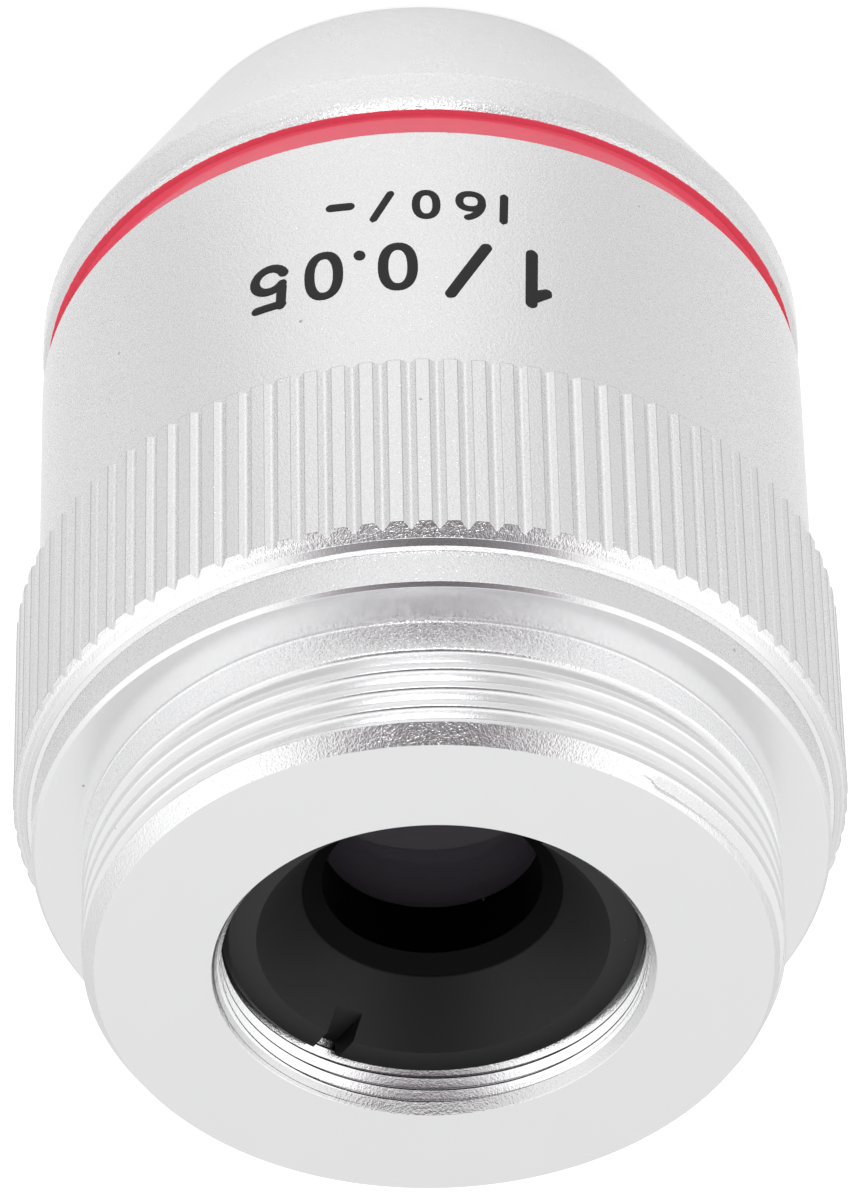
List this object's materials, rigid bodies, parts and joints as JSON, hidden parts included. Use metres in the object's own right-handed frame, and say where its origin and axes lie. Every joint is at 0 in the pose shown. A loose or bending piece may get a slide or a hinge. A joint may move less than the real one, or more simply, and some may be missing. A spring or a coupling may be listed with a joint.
{
  "type": "microscope objective",
  "caption": "Low-power microscope objective: threaded mounting end with shoulder, knurled chrome sleeve, red band, tapered nose and lens groups inside.",
  "frame": {"origin": "on the optical axis, in the plane of the mounting shoulder", "axes": "+Z along the optical axis towards the thread end; the nose points to -Z"},
  "size_m": [0.0242, 0.0242, 0.0321],
  "materials": {
    "satin_chrome": "satin chrome, finely blasted, with bright turned bevels",
    "red_enamel": "glossy red enamel",
    "black_anodised": "matt black anodised",
    "coated_glass": "polished, purple anti-reflection coating",
    "brass": "plain turned",
    "steel": "dark oxide"
  },
  "bodies": {
    "root": {"mount_ring": "satin_chrome", "barrel_sleeve": "satin_chrome", "nose_cone": "satin_chrome", "colour_band": "red_enamel", "back_ring": "black_anodised", "back_cell": "black_anodised", "back_crown_lens": "coated_glass", "back_flint_lens": "coated_glass", "back_spacer": "black_anodised", "middle_lens": "coated_glass", "aperture_stop": "black_anodised", "parfocal_shim": "brass", "lens_tube": "black_anodised", "lock_screw": "steel", "front_cell": "black_anodised", "front_flint_lens": "coated_glass", "front_crown_lens": "coated_glass", "front_spacer": "black_anodised", "front_negative_lens": "coated_glass", "front_ring": "black_anodised"}
  },
  "joints": []
}
